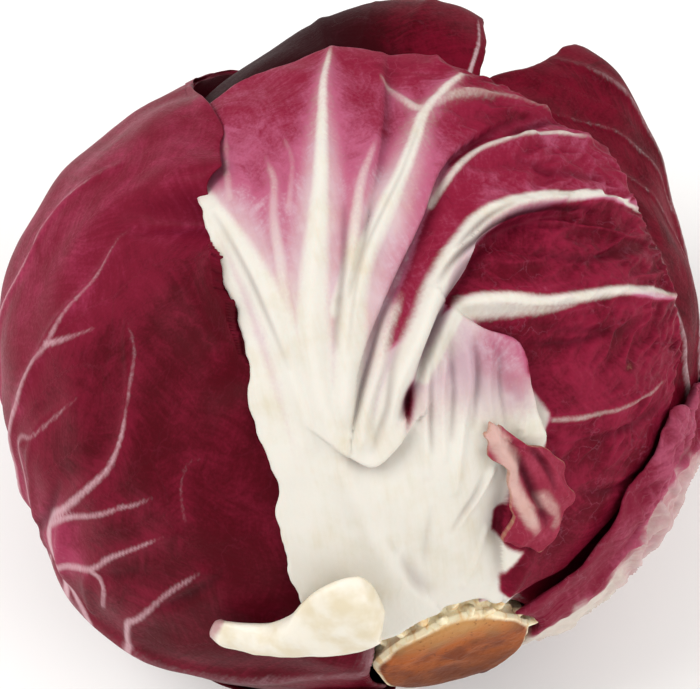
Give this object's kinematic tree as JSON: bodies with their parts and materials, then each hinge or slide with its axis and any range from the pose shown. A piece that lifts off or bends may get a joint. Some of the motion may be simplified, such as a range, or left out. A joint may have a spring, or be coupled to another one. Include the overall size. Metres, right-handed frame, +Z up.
{
  "type": "radicchio head",
  "caption": "Round head of red radicchio lying on its side: wine-red leaves with white ribs wrapped round a dense heart, and a short trimmed stem.",
  "frame": {"origin": "middle of the small flat resting spot under the lowest leaf", "axes": "+Z up, away from the resting spot; the head's axis lies along Y with the cut stem at -Y and the closed tip at +Y"},
  "size_m": [0.1224, 0.1215, 0.1085],
  "materials": {
    "stump_flesh": "dry cut plant stem, brown and cream, matte",
    "heart_leaves": "dark red leaf, soft sheen",
    "front_leaf_skin": "wine-red lamina with white ribs, soft sheen",
    "left_leaf_skin": "dark wine-red leaf with pale veins, soft sheen",
    "right_leaf_skin": "dark maroon leaf, soft sheen",
    "top_leaf_skin": "dark red leaf, soft sheen",
    "back_leaf_skin": "dark red leaf, soft sheen",
    "bottom_leaf_skin": "dark red leaf, soft sheen",
    "lower_right_leaf_skin": "pink and red leaf with a pale back, soft sheen",
    "torn_scrap_skin": "pink torn leaf with a dry rim",
    "stub_flesh": "white crisp leaf base, soft sheen"
  },
  "bodies": {
    "root": {"stem": "stump_flesh", "heart": "heart_leaves", "front_leaf": "front_leaf_skin", "left_leaf": "left_leaf_skin", "right_leaf": "right_leaf_skin", "top_leaf": "top_leaf_skin", "back_leaf": "back_leaf_skin", "bottom_leaf": "bottom_leaf_skin", "lower_right_leaf": "lower_right_leaf_skin", "torn_scrap": "torn_scrap_skin", "broken_stub": "stub_flesh"}
  },
  "joints": []
}
